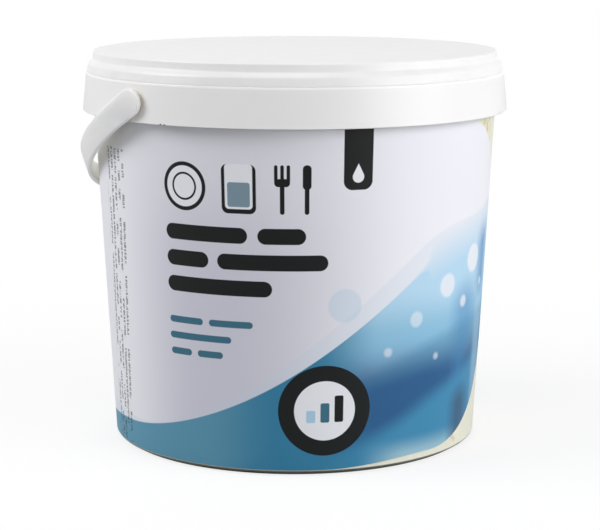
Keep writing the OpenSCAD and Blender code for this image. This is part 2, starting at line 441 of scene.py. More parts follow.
def from_centre(sheet: Sheet, given: dict) -> Socket:
    """Adds how far a place on the wall lies from a shape's centre.

    Args:
        sheet: The group's sheet.
        given: The group's inputs, by name.

    Returns:
        The distances along the wall and up, in metres.
    """
    scale = sheet.point(given["Wall radius"], 1.0)
    away = sheet.vector("SUBTRACT", given["Place"], given["Centre"])
    return sheet.vector("MULTIPLY", away, scale)


def build_shape(sheet: Sheet, given: dict) -> dict:
    """A printed bar or disc: a box with rounded corners on the wall.

    Args:
        sheet: The group's sheet.
        given: The group's inputs, by name.

    Returns:
        What each output shows.
    """
    away = sheet.vector("ABSOLUTE", from_centre(sheet, given))
    corner = sheet.point(given["Corner"], given["Corner"])
    core = sheet.vector("SUBTRACT", given["Half size"], corner)
    past = sheet.vector("MAXIMUM", sheet.vector("SUBTRACT", away, core), ORIGIN)
    gap = sheet.math("SUBTRACT", given["Corner"], sheet.vector("LENGTH", past))
    return {"Mask": sheet.edge(gap, sheet.math("DIVIDE", 1.0, given["Blur"]))}


def build_drop(sheet: Sheet, given: dict) -> dict:
    """A printed drop: a disc whose sides meet in a point above it.

    Args:
        sheet: The group's sheet.
        given: The group's inputs, by name.

    Returns:
        What each output shows.
    """
    lean = 0.46
    away = from_centre(sheet, given)
    across, up, _ = sheet.numbers(away)
    slant = sheet.times(sheet.math("ABSOLUTE", across), math.cos(lean))
    slant = sheet.math("MULTIPLY_ADD", up, math.sin(lean), slant)
    upper = sheet.math("GREATER_THAN", up, sheet.times(given["Size"], math.sin(lean)))
    reach = sheet.add("Mix", {0: upper, 2: sheet.vector("LENGTH", away), 3: slant}).outputs[0]
    gap = sheet.math("SUBTRACT", given["Size"], reach)
    return {"Mask": sheet.edge(gap, sheet.math("DIVIDE", 1.0, given["Blur"]))}


def build_small_print(sheet: Sheet, given: dict) -> dict:
    """Rows of marks as fine as small print: broken strokes in even rows along Y.

    Args:
        sheet: The group's sheet.
        given: The group's inputs, by name.

    Returns:
        What each output shows.
    """
    row_shift, word_scale = 7.31, 0.55
    stroke_scale = (1.3, 4.6)
    x, y, _ = sheet.numbers(given["Place"])
    rows, along = (sheet.math("DIVIDE", way, given["Pitch"]) for way in (x, y))
    from_middle = sheet.math("ABSOLUTE", sheet.math("SUBTRACT", sheet.math("FRACT", rows), 0.5))
    band = sheet.fall(from_middle, 0.2, 0.32)
    words = sheet.point(sheet.times(sheet.math("FLOOR", rows), row_shift), along)
    words = sheet.spread(sheet.noise(words, word_scale, 0.0), 0.4, 0.46)
    strokes = sheet.point(*(sheet.times(way, scale)
                            for way, scale in zip((rows, along), stroke_scale)))
    strokes = sheet.spread(sheet.noise(strokes, 1.0, 0.0), 0.4, 0.5)
    return {"Mask": sheet.times(sheet.times(words, strokes), band)}


PLACE = Effect("wall place", {}, {"Place": "Vector", "Angle": "Float", "Height": "Float",
                                  "Radius": "Float"}, build_place)
GRAIN = Effect("moulded grain", {"Waves": 1.0, "Grain": 1.0, "Rubs": 1.0},
               {"Height": "Float", "Rubbed": "Float", "Cloudy": "Float"}, build_grain)
SHAPE = Effect("printed shape", {
    "Place": ORIGIN, "Centre": ORIGIN, "Half size": (0.01, 0.01, 0.0), "Corner": 0.001,
    "Wall radius": 0.077, "Blur": 0.0002}, {"Mask": "Float"}, build_shape)
DROP = Effect("printed drop", {
    "Place": ORIGIN, "Centre": ORIGIN, "Size": 0.003, "Wall radius": 0.077, "Blur": 0.0002},
              {"Mask": "Float"}, build_drop)
SMALL_PRINT = Effect("small print", {"Place": ORIGIN, "Pitch": 0.002}, {"Mask": "Float"},
                     build_small_print)


# Finishes


@dataclass(frozen=True)
class Plastic:
    """Satin moulded plastic.

    Attributes:
        name: Name of the material.
        colour: Its own colour.
        tint: The colour that its cloudier parts lean to.
        roughness: How matt it is.
        waves: Height of the slow waves of its surface, in metres.
        grain: Height of its fine grain, in metres.
        depth: How far light travels in it, in metres.
        glow: How much light it lets through.
        rubs: How strong its rubs are.
        rub_matt: How much rougher a rub is.
        scatter: How far red, green and blue light travel, as shares of the depth.
    """

    name: str
    colour: Colour
    tint: Colour
    roughness: float = 0.36
    waves: float = 0.00016
    grain: float = 0.000004
    depth: float = 0.0016
    glow: float = 0.25
    rubs: float = 0.5
    rub_matt: float = 0.22
    scatter: tuple[float, float, float] = (1.0, 0.95, 0.88)

    def make(self, paint: Painter | None = None) -> bpy.types.Material:
        """Makes the material.

        Args:
            paint: Changes the colour further, given the sheet and the colour so far.

        Returns:
            The new material.
        """
        material, sheet = new_finish(self.name)
        skin = GRAIN.use(sheet, Waves=self.waves, Grain=self.grain, Rubs=self.rubs)
        cloud = sheet.spread(skin.outputs["Cloudy"], 0.4, 0.75, 0.0, 0.6)
        colour = sheet.mix(cloud, self.colour, self.tint)
        if paint:
            colour = paint(sheet, colour)
        rough = sheet.math("MULTIPLY_ADD", skin.outputs["Rubbed"], self.rub_matt, self.roughness)
        sheet.surface(colour, rough, skin.outputs["Height"], IOR=PLASTIC_IOR,
                      Subsurface_Weight=self.glow, Subsurface_Radius=self.scatter,
                      Subsurface_Scale=self.depth)
        return material


WHITE_PLASTIC = Plastic("white plastic", linear(241, 240, 241), linear(237, 236, 237))
HANDLE_PLASTIC = Plastic("handle plastic", linear(241, 240, 240), linear(238, 237, 236), 0.33,
                         depth=0.006, glow=0.9)
TUB_PLASTIC = Plastic("tub plastic", linear(238, 237, 221), linear(233, 231, 211))
SCOOP_PLASTIC = Plastic("scoop plastic", linear(186, 210, 232), linear(178, 204, 228), 0.3)


@dataclass(frozen=True)
class Spot:
    """A stain or a speck on the tub. Sizes are in mm, the angle is in degrees.

    Attributes:
        angle: Angle of its middle from the front.
        height: Height of its middle.
        half_width: Half its width along the wall.
        half_height: Half its height.
        colour: Its colour.
        share: How much it covers.
    """

    angle: float
    height: float
    half_width: float
    half_height: float
    colour: Colour
    share: float = 1.0

    def mask(self, sheet: Sheet, place: Feed, wall_r: float, blur: float) -> Socket:
        """Adds the mask of its outline, on a wall of a radius, with an edge as wide as blur."""
        return SHAPE.use(
            sheet, Place=place, Centre=(math.radians(self.angle), self.height * MM, 0.0),
            Half_size=(self.half_width * MM, self.half_height * MM, 0.0),
            Corner=min(self.half_width, self.half_height) * MM, Wall_radius=wall_r * MM,
            Blur=blur * MM).outputs[0]


@dataclass(frozen=True)
class TubPaint:
    """What the tub shows besides its plastic: a white collar, whose double wall hides the
    yellowish fill, a painted highlight along the collar's top edge, a painted line of shade at its
    foot, stains and specks. Sizes are in mm, and a pair of them is where a change of colour starts
    and ends."""

    collar: Colour = linear(241, 240, 241)
    # Painted highlight: the collar's top edge, lighter than the rest of the collar.
    brim_highlight: Colour = linear(255, 255, 254)
    # Painted shade: a dark line where the wall curves under at the foot.
    foot: Colour = linear(92, 97, 87)
    speck: Colour = linear(96, 92, 84)
    collar_r: Point = (80.6, 81.2)
    collar_z: Point = (131.5, 133.0)
    brim_highlight_z: Point = (146.6, 147.1)
    # Where the painted line of shade at the foot fades in, by radius and by height.
    foot_r: Point = (69.0, 70.0)
    foot_z: Point = (1.7, 2.3)
    stain_r: float = 79.5
    stain_blur: float = 3.0
    ragged_scale: float = 420.0
    speck_r: float = 85.0
    speck_blur: float = 0.3
    stains: tuple[Spot, ...] = (
        Spot(69.0, 128.0, 5.5, 5.0, linear(205, 192, 120), 0.75),
        Spot(73.5, 124.5, 2.2, 6.0, linear(222, 212, 150), 0.6),
        Spot(57.0, 6.3, 0.9, 0.8, linear(176, 140, 62), 0.8),
        Spot(58.5, 5.2, 0.5, 0.5, linear(190, 160, 90), 0.6))
    specks: tuple[Point, ...] = ((-35.6, 132.9), (-34.4, 132.8), (-63.5, 132.9))

    def paint(self, sheet: Sheet, colour: Feed) -> Feed:
        """Adds the collar, the painted highlight on its top edge, the painted line of shade at the
        foot, the stains and the specks.

        Args:
            sheet: The tub material's sheet.
            colour: The colour of the bare wall.

        Returns:
            The colour with all of them.
        """

        def metres(pair: Point) -> Point:
            """Turns a pair of millimetres into metres."""
            return pair[0] * MM, pair[1] * MM

        place, _, height, radius = PLACE.use(sheet).outputs
        collar = sheet.times(sheet.spread(radius, *metres(self.collar_r)),
                             sheet.spread(height, *metres(self.collar_z)))
        colour = sheet.mix(collar, colour, self.collar)
        # Painted highlight along the collar's top edge.
        brim_highlight = sheet.times(collar, sheet.spread(height, *metres(self.brim_highlight_z)))
        colour = sheet.mix(brim_highlight, colour, self.brim_highlight)
        # Painted shade: a dark line round the foot, just under the label.
        foot = sheet.times(sheet.fall(height, *metres(self.foot_z)),
                           sheet.spread(radius, *metres(self.foot_r)))
        colour = sheet.mix(foot, colour, self.foot)
        ragged = sheet.noise(sheet.own_place(), self.ragged_scale, 4.0)
        for stain in self.stains:
            outline = stain.mask(sheet, place, self.stain_r, self.stain_blur)
            patchy = sheet.times(outline, sheet.spread(ragged, 0.42, 0.6))
            colour = sheet.mix(sheet.times(patchy, stain.share), colour, stain.colour)
        for angle, speck_z in self.specks:
            speck = Spot(angle, speck_z, 0.5, 0.3, self.speck)
            outline = speck.mask(sheet, place, self.speck_r, self.speck_blur)
            colour = sheet.mix(sheet.times(outline, collar), colour, speck.colour)
        return colour


@dataclass(frozen=True)
class HandlePaint:
    """What the handle shows besides its plastic: painted warm light on its inner face, which the
    cream wall lights and which glows through the thin strap."""

    painted_warm_glow: Colour = linear(255, 247, 214)
    share: float = 0.75

    def paint(self, sheet: Sheet, colour: Feed) -> Feed:
        """Paints warm light on the inner face, given the material's sheet and the colour so far.
        """
        inner = sheet.add("Attribute", attribute_name=INNER_FACE).outputs["Fac"]
        # Painted light: a warm glow mixed into the colour of the inner face.
        return sheet.mix(sheet.times(inner, self.share), colour, self.painted_warm_glow)


class Ink(Enum):
    """Inks of the label."""

    DARK = linear(13, 19, 19)
    TEAL = linear(62, 112, 134)
    WHITE = linear(238, 240, 246)
    PALE = linear(176, 208, 232)
    NAVY = linear(52, 52, 84)
    AZURE = linear(70, 136, 192)


@dataclass(frozen=True)
class Print:
    """One printed bar or disc. A disc has only a half width.

    Attributes:
        ink: Its ink.
        angle: Angle of its middle from the front, in degrees.
        height: Height of its middle, in millimetres.
        half_width: Half its width along the wall, in millimetres.
        half_height: Half its height, in millimetres.
        corner: Radius of its corners, in millimetres.
        share: How much the ink covers.
        blur: Width of its edge, in millimetres.
    """

    ink: Ink
    angle: float
    height: float
    half_width: float
    half_height: float = 0.0
    corner: float = 0.0
    share: float = 1.0
    blur: float = 0.2

    def mask(self, sheet: Sheet, place: Feed, wall: Wall) -> Socket:
        """Adds the nodes of its mask.

        Args:
            sheet: The label material's sheet.
            place: The place on the wall.
            wall: The wall that it lies on.

        Returns:
            Its mask, from 0 to the ink's share.
        """
        half_height = self.half_height or self.half_width
        corner = self.corner or min(self.half_width, half_height)
        mask = SHAPE.use(
            sheet, Place=place, Centre=(math.radians(self.angle), self.height * MM, 0.0),
            Half_size=(self.half_width * MM, half_height * MM, 0.0), Corner=corner * MM,
            Wall_radius=wall.radius_at(self.height) * MM, Blur=self.blur * MM).outputs[0]
        return mask if self.share == 1.0 else sheet.times(mask, self.share)


@dataclass(frozen=True)
class PrintBlock:
    """A block of rows of fine marks.

    Attributes:
        upright: Whether its rows run upwards. The rows of the others are level.
        pitch: Distance between its rows, in millimetres.
        angle: Angle of its middle from the front, in degrees.
        height: Height of its middle, in millimetres.
        half_width: Half its width along the wall, in millimetres.
        half_height: Half its height, in millimetres.
    """

    upright: bool
    pitch: float
    angle: float
    height: float
    half_width: float
    half_height: float


@dataclass(frozen=True)
class Wave:
    """The upper line of a printed wave, which rises round the front and falls at the back.

    Attributes:
        low: Height of the line at the left, in millimetres.
        rise: How far it rises to the right, in millimetres.
        swing: Height of its ripple, in millimetres.
        beat: How fast the ripple turns with the angle.
        turn: Where the ripple starts, in radians.
        sag: How far the line sags at the right, in millimetres.
        front: Angles between which it rises, in degrees.
        rear: Angles between which it falls, in degrees.
        sagging: Angles between which it starts to sag, in radians.
    """

    low: float
    rise: float
    swing: float
    beat: float
    turn: float
    sag: float = 0.0
    front: Point = (-62.0, 92.0)
    rear: Point = (-267.0, -130.0)
    sagging: Point = (0.65, 1.25)

    def line(self, sheet: Sheet, angle: Feed) -> Socket:
        """Adds the line.

        Args:
            sheet: The label material's sheet.
            angle: Angle from the front, in radians.

        Returns:
            The line's height, in metres.
        """
        front = sheet.spread(angle, *map(math.radians, self.front), self.low * MM,
                             (self.low + self.rise) * MM)
        rear = sheet.spread(angle, *map(math.radians, self.rear), self.rise * MM, 0.0)
        ripple = sheet.math("SINE", sheet.math("MULTIPLY_ADD", angle, self.beat, self.turn))
        line = sheet.math("MULTIPLY_ADD", ripple, self.swing * MM, front)
        if self.sag:
            sag = sheet.spread(angle, *self.sagging, 0.0, self.sag * MM)
            line = sheet.math("SUBTRACT", line, sag)
        return sheet.math("ADD", line, rear)


@dataclass(frozen=True)
class BlueField:
    """The soft-focus blues, plain at the left and deeper and livelier at the right. Heights
    are in metres and angles in radians, and a pair of them is where a change of colour starts
    and ends."""

    left: Colour = linear(92, 151, 178)
    middle: Colour = linear(54, 128, 165)
    deep: Colour = linear(30, 62, 124)
    light: Colour = linear(138, 190, 220)
    pale: Colour = linear(182, 217, 240)
    clear: Colour = linear(66, 142, 184)
    foot: Colour = linear(198, 229, 236)
    soft_stretch: float = 0.055
    soft_shift: tuple[float, float, float] = (0.31, 0.17, 0.0)
    soft_scale: float = 22.0
    soft_height: float = 0.010
    sunk: float = 0.005
    tilt: float = -0.004
    clear_tilt: float = -0.026
    light_z: Point = (0.030, 0.049)
    pale_z: Point = (0.047, 0.067)
    clear_z: Point = (-0.003, 0.007)
    foot_z: Point = (0.0025, 0.013)
    foot_angles: Point = (0.3, 0.62)
    middle_angles: Point = (-0.5, -0.05)
    right_angles: Point = (0.08, 0.45)

    def paint(self, sheet: Sheet, angle: Feed, height: Feed) -> Socket:
        """Adds the blues.

        Args:
            sheet: The label material's sheet.
            angle: Angle from the front, in radians.
            height: Height on the wall, in metres.

        Returns:
            The colour of the blue field.
        """
        spot = sheet.point(sheet.times(angle, self.soft_stretch), height)
        soft = sheet.noise(sheet.vector("ADD", spot, self.soft_shift), self.soft_scale, 1.0)
        level = sheet.math("MULTIPLY_ADD", soft, self.soft_height,
                           sheet.math("SUBTRACT", height, self.sunk))
        level = sheet.math("MULTIPLY_ADD", angle, self.tilt, level)
        colour = sheet.mix(sheet.spread(level, *self.light_z), self.deep, self.light)
        colour = sheet.mix(sheet.spread(level, *self.pale_z), colour, self.pale)
        rising = sheet.math("MULTIPLY_ADD", angle, self.clear_tilt, level)
        colour = sheet.mix(sheet.fall(rising, *self.clear_z), colour, self.clear)
        foot = sheet.times(sheet.fall(height, *self.foot_z),
                           sheet.spread(angle, *self.foot_angles))
        colour = sheet.mix(foot, colour, self.foot)
        left = sheet.mix(sheet.spread(angle, *self.middle_angles), self.left, self.middle)
        return sheet.mix(sheet.spread(angle, *self.right_angles), left, colour)


@dataclass(frozen=True)
class LabelPrint:
    """Design of the label: a white field over soft blue waves, with bubbles, a ring badge,
    a dark tab, simple pictures of dishes, and rounded bars and fine rows of marks in the
    place of words. The white field also carries painted shade, darker left of the front and
    lower down, and the blue field a painted highlight near its right edge. Blurs and radii
    are in mm, and a pair of values is where a change of colour starts and ends, as angles
    in radians or heights in metres."""

    name: str = "printed label film"
    white: Colour = linear(238, 239, 246)
    # Painted shade: the white field greys towards this colour left of the front and lower down.
    shade: Colour = linear(211, 212, 225)
    painted_shade_left: Point = (-1.05, -0.5)
    painted_shade_right: Point = (-0.4, 0.6)
    painted_shade_z: Point = (0.075, 0.13)
    painted_shade_least: float = 0.3
    veil: Colour = linear(206, 220, 235)
    veil_share: float = 0.35
    veil_blur: float = 0.8
    blue: BlueField = field(default_factory=BlueField)
    edge_angles: Point = (0.45, 0.74)
    edge_blur: float = 0.35
    far_edge_blur: float = 15.0
    main: Wave = Wave(10.0, 91.0, 2.6, 3.0, -1.7, 10.0)
    over: Wave = Wave(14.0, 97.0, 3.6, 2.3, -0.9, 13.0)
    under: Wave = Wave(-10.0, 74.0, 5.0, 3.4, 0.2)
    under_share: float = 0.35
    under_blur: float = 5.0
    bar_r: float = 78.0
    tab_angle: float = 17.0
    drop_z: float = 114.5
    drop_size: float = 2.2
    waves: float = 0.00008
    grain: float = 0.0000025
    rubs: float = 0.4
    rub_matt: float = 0.15
    roughness: float = 0.45
    specular: float = 0.25
    lean: float = 0.8
    lean_from: float = 0.121
    blocks: tuple[PrintBlock, ...] = (
        PrintBlock(True, 3.1, -60.6, 62.0, 8.2, 59.0),
        PrintBlock(False, 2.2, -112.0, 92.0, 26.0, 22.0),
        PrintBlock(False, 2.2, -112.0, 40.0, 26.0, 18.0),
        PrintBlock(False, 3.6, -168.0, 104.0, 30.0, 11.0),
        PrintBlock(False, 2.2, -168.0, 66.0, 30.0, 19.0),
        PrintBlock(False, 2.6, -224.0, 96.0, 24.0, 18.0))

    def bars(self) -> list[Print]:
        """Bars that stand where the words are: broad dark ones, then thin teal ones.

        Returns:
            The bars, from rows of (ink, height, half height, spans of angles).
        """
        rows = (
            (Ink.DARK, 92.5, 3.0, (-38.0, -13.0), (-10.2, 3.0)),
            (Ink.DARK, 82.5, 3.0, (-38.0, -24.5), (-21.7, 9.0)),
            (Ink.DARK, 72.5, 3.0, (-38.0, -6.5)),
            (Ink.TEAL, 58.5, 1.3, (-38.0, -27.0), (-24.8, -12.0)),
            (Ink.TEAL, 52.3, 1.3, (-38.0, -18.5)),
            (Ink.TEAL, 46.1, 1.3, (-38.0, -31.0), (-28.8, -21.0)))
        return [Print(ink, (left + right) / 2, height,
                      math.radians(right - left) * self.bar_r / 2, half)
                for ink, height, half, *spans in rows for left, right in spans]

    def dishes(self) -> list[Print]:
        """A plate, a tumbler, a fork and a knife, in simple shapes above the bars.

        Returns:
            The shapes, the lower ones first.
        """
        height = 110.0
        plate, tumbler, fork, knife = -31.3, -15.2, -3.4, 3.2
        shapes = [
            Print(Ink.DARK, plate, height, 9.2), Print(Ink.WHITE, plate, height, 7.7),
            Print(Ink.DARK, plate, height, 5.3), Print(Ink.WHITE, plate, height, 4.5),
            Print(Ink.DARK, tumbler, height, 6.6, 9.2, 2.4),
            Print(Ink.WHITE, tumbler, height + 0.9, 5.3, 8.4, 1.4),
            Print(Ink.TEAL, tumbler, height - 2.1, 4.3, 4.6, 1.0, 0.8),
            Print(Ink.DARK, fork, height - 3.0, 0.85, 6.2),
            Print(Ink.DARK, fork, height + 2.6, 2.9, 1.5),
            Print(Ink.DARK, knife, height - 3.0, 0.85, 6.2),
            Print(Ink.DARK, knife, height + 4.6, 1.6, 4.6, 1.5)]
        return shapes + [Print(Ink.DARK, fork + prong, height + 5.9, 0.65, 3.3)
                         for prong in (-1.65, 0.0, 1.65)]

    def badge(self) -> list[Print]:
        """A ring badge, with three bars of growing height in it.

        Returns:
            The shapes, the lower ones first.
        """
        angle, height = 8.6, 25.6
        bars = ((-4.1, 2.4, Ink.PALE), (0.0, 3.8, Ink.TEAL), (4.1, 5.2, Ink.DARK))
        shapes = [Print(Ink.DARK, angle, height, 17.6), Print(Ink.WHITE, angle, height, 11.6)]
        return shapes + [Print(ink, angle + step, height - 4.6 + half, 1.7, half, 0.7)
                         for step, half, ink in bars]

    def soft_patches_and_edge_highlight(self) -> list[Print]:
        """Patches out of focus in the blue field, and a painted highlight down its right edge,
        where the wall turns away.
        """
        return [Print(Ink.AZURE, 73.0, 76.0, 5.0, 13.0, share=0.75, blur=9.0),
                Print(Ink.AZURE, 60.0, 54.0, 8.0, 13.0, share=0.5, blur=10.0),
                Print(Ink.AZURE, 58.0, 34.0, 4.0, 8.0, share=0.5, blur=8.0),
                Print(Ink.NAVY, 60.0, 13.0, 6.0, 12.0, share=0.85, blur=8.0),
                # Painted highlight: a pale strip down the label's right edge.
                Print(Ink.PALE, 72.5, 37.0, 5.0, 22.0, share=0.6, blur=4.0)]

    def bubbles(self) -> list[Print]:
        """Soft bubbles that rise over the blue field.

        Returns:
            The bubbles, from (angle, height, radius, share).
        """
        places = ((64.0, 77.0, 5.6, 0.85), (49.5, 69.0, 4.6, 0.75), (58.5, 61.0, 2.3, 0.7),
                  (37.0, 58.0, 3.0, 0.5), (27.5, 46.5, 1.7, 0.5), (45.5, 42.0, 1.3, 0.5),
                  (72.0, 66.0, 1.6, 0.6))
        shapes = [Print(Ink.WHITE, angle, height, size, share=share, blur=1.2)
                  for angle, height, size, share in places]
        return shapes + [Print(Ink.PALE, 14.0, 66.0, 6.4, share=0.35, blur=0.8)]

    def tab(self) -> list[Print]:
        """The dark tab that hangs from the label's upper edge."""
        return [Print(Ink.DARK, self.tab_angle, 123.0, 5.6, 13.4, 3.4)]

    def below(self, sheet: Sheet, height: Feed, line: Feed, blur: float) -> Socket:
        """Adds the mask of what lies below a line, with an edge as wide as blur, in mm."""
        return sheet.edge(sheet.math("SUBTRACT", line, height), 1 / (blur * MM))

    def fields(self, sheet: Sheet, place: bpy.types.Node, wall: Wall) -> Socket:
        """Adds the white field with its painted shade, its veil, and the blue field with its
        patches and painted highlight.

        Args:
            sheet: The label material's sheet.
            place: The place on the wall.
            wall: The wall that the label lies on.

        Returns:
            The colour of the fields.
        """
        spot, angle, height, _ = place.outputs
        # Painted shade on the white field: strongest left of the front, weaker higher up.
        painted_shade_mask = sheet.times(sheet.spread(angle, *self.painted_shade_left),
                             sheet.fall(angle, *self.painted_shade_right))
        painted_shade_mask = sheet.times(painted_shade_mask, sheet.spread(height, *self.painted_shade_z, 1.0, self.painted_shade_least))
        colour = sheet.mix(painted_shade_mask, self.white, self.shade)
        veil = self.below(sheet, height, self.over.line(sheet, angle), self.veil_blur)
        colour = sheet.mix(sheet.times(veil, self.veil_share), colour, self.veil)
        blue = self.blue.paint(sheet, angle, height)
        # The blurred patches, and the painted highlight down the right edge.
        for item in self.soft_patches_and_edge_highlight():
            blue = sheet.mix(item.mask(sheet, spot, wall), blue, item.ink.value)
        steep = sheet.spread(angle, *self.edge_angles, 1 / (self.edge_blur * MM),
                             1 / (self.far_edge_blur * MM))
        gap = sheet.math("SUBTRACT", self.main.line(sheet, angle), height)
        colour = sheet.mix(sheet.edge(gap, steep), colour, blue)
        under = self.below(sheet, height, self.under.line(sheet, angle), self.under_blur)
        return sheet.mix(sheet.times(under, self.under_share), colour, self.blue.middle)

    def small_print(self, sheet: Sheet, place: bpy.types.Node, wall: Wall, colour: Feed) -> Feed:
        """Adds the fine rows of marks: upright ones at the left, level ones at the back.

        Args:
            sheet: The label material's sheet.
            place: The place on the wall.
            wall: The wall that the label lies on.
            colour: The colour so far.

        Returns:
            The colour with the marks.
        """
        straight, angle, height, _ = place.outputs
        bar_r = self.bar_r * MM
        lean = sheet.math("MULTIPLY_ADD", height, -self.lean, self.lean * self.lean_from)
        leaning = sheet.vector("ADD", straight, sheet.point(lean))
        arc = sheet.times(angle, bar_r)
        upright = sheet.point(sheet.math("MULTIPLY_ADD", lean, bar_r, arc), height)
        level = sheet.point(height, arc)
        for block in self.blocks:
            rows, spot = (upright, leaning) if block.upright else (level, straight)
            marks = SMALL_PRINT.use(sheet, Place=rows, Pitch=block.pitch * MM).outputs[0]
            window = Print(Ink.DARK, block.angle, block.height, block.half_width,
                           block.half_height, corner=0.3, share=0.7)
            mask = sheet.times(marks, window.mask(sheet, spot, wall))
            colour = sheet.mix(mask, colour, window.ink.value)
        return colour

    def make(self, wall: Wall) -> bpy.types.Material:
        """Makes the label's material.

        Args:
            wall: The wall that the label lies on.

        Returns:
            The new material.
        """
        material, sheet = new_finish(self.name)
        place = PLACE.use(sheet)
        spot = place.outputs["Place"]
        colour = self.small_print(sheet, place, wall, self.fields(sheet, place, wall))
        for item in self.bubbles() + self.bars() + self.dishes() + self.tab() + self.badge():
            colour = sheet.mix(item.mask(sheet, spot, wall), colour, item.ink.value)
        drop = DROP.use(sheet, Place=spot, Size=self.drop_size * MM,
                        Centre=(math.radians(self.tab_angle), self.drop_z * MM, 0.0),
                        Wall_radius=wall.radius_at(self.drop_z) * MM)
        colour = sheet.mix(drop.outputs[0], colour, Ink.WHITE.value)
        skin = GRAIN.use(sheet, Waves=self.waves, Grain=self.grain, Rubs=self.rubs)
        rough = sheet.math("MULTIPLY_ADD", skin.outputs["Rubbed"], self.rub_matt, self.roughness)
        sheet.surface(colour, rough, skin.outputs["Height"], IOR=PLASTIC_IOR,
                      Specular_IOR_Level=self.specular)
        return material


@dataclass(frozen=True)
class PowderGrains:
    """Washing powder: fine white grains with a few coloured ones. Heights are in metres."""

    name: str = "washing powder"
    colour: Colour = linear(238, 240, 243)
    shade: Colour = linear(221, 225, 231)
    speck: Colour = linear(96, 158, 214)
    speck_above: float = 0.965
    grain_scale: float = 1100.0
    grain_h: float = 0.0004
    lump_scale: float = 500.0
    lump_h: float = 0.0012
    roughness: float = 0.92

    def make(self) -> bpy.types.Material:
        """Makes the material.

        Returns:
            The new material.
        """
        material, sheet = new_finish(self.name)
        place = sheet.own_place()
        cells = sheet.add("TexVoronoi", {"Vector": place, "Scale": self.grain_scale})
        tone = sheet.add("SeparateColor", {0: cells.outputs["Color"]})
        colour = sheet.mix(tone.outputs[1], self.colour, self.shade)
        specks = sheet.math("GREATER_THAN", tone.outputs[0], self.speck_above)
        colour = sheet.mix(specks, colour, self.speck)
        height = sheet.times(cells.outputs["Distance"], -self.grain_h)
        lumps = sheet.noise(place, self.lump_scale, 3.0)
        height = sheet.math("MULTIPLY_ADD", lumps, self.lump_h, height)
        sheet.surface(colour, self.roughness, height)
        return material


# Pieces


@dataclass(frozen=True)
class Tub:
    """The moulded tub: floor on a foot ring, wall, collar and beaded rim. Sizes are in mm."""

    wall: Wall = field(default_factory=Wall)
    foot_h: float = 1.1
    floor_t: float = 1.5
    foot_r: float = 71.0
    foot_w: float = 2.0
    base_in: float = 0.12
    base_round: float = 1.0
    collar_r: float = 85.0
    collar_top_r: float = 83.4
    collar_top_z: float = 147.8
    bead_out: float = 0.6
    bead_h: float = 1.2
    fine_round: float = 0.25
    inner_round: float = 0.3
    edge_round: float = 0.35
    lip_round: float = 0.4
    brim_round: float = 0.5
    pivot_z: float = 140.0
    pivot_turn: float = 45.5
    hole_r: float = 3.05
    hole_past: Point = (0.3, 1.0)

    def section(self) -> list[Corner]:
        """The tub's section, from the axis under the floor round to the axis over it.

        Returns:
            Its corners as (radius, height, round).
        """
        wall, groove = self.wall, 0.5 * self.foot_h
        foot_in = self.foot_r - self.foot_w
        neck_in = wall.neck_r - wall.thick
        bead_r = wall.neck_r + self.bead_out
        bead_z = wall.rim_z - self.bead_h
        floor_z = self.foot_h + self.floor_t
        web_z = self.collar_top_z - wall.thick
        slope = (self.collar_r - self.collar_top_r) / (self.collar_top_z - wall.collar_z)
        web_r = self.collar_r - slope * (web_z - wall.collar_z) - wall.thick
        return [
            (0, self.foot_h, 0), (foot_in, self.foot_h, 0),
            (foot_in, 0, self.edge_round), (self.foot_r, 0, self.edge_round),
            (self.foot_r, self.foot_h - groove, 0), (self.foot_r - groove, self.foot_h, 0),
            (wall.base_r - self.base_in, self.foot_h, self.base_round),
            (wall.wide_r, wall.collar_z, 0),
            (wall.neck_r, wall.collar_z + wall.thick, 0), (wall.neck_r, web_z, 0),
            (web_r, web_z, self.inner_round),
            (self.collar_r - wall.thick, wall.collar_z, self.fine_round),
            (self.collar_r, wall.collar_z, self.edge_round),
            (self.collar_top_r, self.collar_top_z, self.brim_round),
            (wall.neck_r, self.collar_top_z, self.lip_round),
            (wall.neck_r, bead_z - self.bead_out, 0), (bead_r, bead_z, self.fine_round),
            (bead_r, wall.rim_z - self.bead_out, self.fine_round),
            (wall.neck_r, wall.rim_z, self.inner_round), (neck_in, wall.rim_z, self.lip_round),
            (neck_in, wall.collar_z + wall.thick, 0),
            (wall.radius_at(floor_z) - wall.thick, floor_z, self.base_round), (0, floor_z, 0)]

    def pivot_holes(self) -> Mesh:
        """Two short rods in the places of the pivot holes.

        Returns:
            Both rods as one mesh, in metres.
        """
        bm = bmesh.new()
        start, end = self.wall.neck_r + self.hole_past[0], self.collar_r + self.hole_past[1]
        for side in (0.0, math.pi):
            spot = (Matrix.Translation((0, 0, self.pivot_z * MM))
                    @ Matrix.Rotation(math.radians(-90 - self.pivot_turn) + side, 4, "Z")
                    @ Matrix.Translation(((start + end) / 2 * MM, 0, 0))
                    @ Matrix.Rotation(math.pi / 2, 4, "Y"))
            bmesh.ops.create_cone(bm, cap_ends=True, segments=48, radius1=self.hole_r * MM,
                                  radius2=self.hole_r * MM, depth=(end - start) * MM,
                                  matrix=spot)
        return bm

    def build(self) -> bpy.types.Object:
        """Builds the tub and returns its object."""
        bm = joined(turned(self.section()), self.pivot_holes(), Join.CUT)
        return finished(bm, "tub_shell", TUB_PLASTIC.make(TubPaint().paint), "pail",
                        "tub")


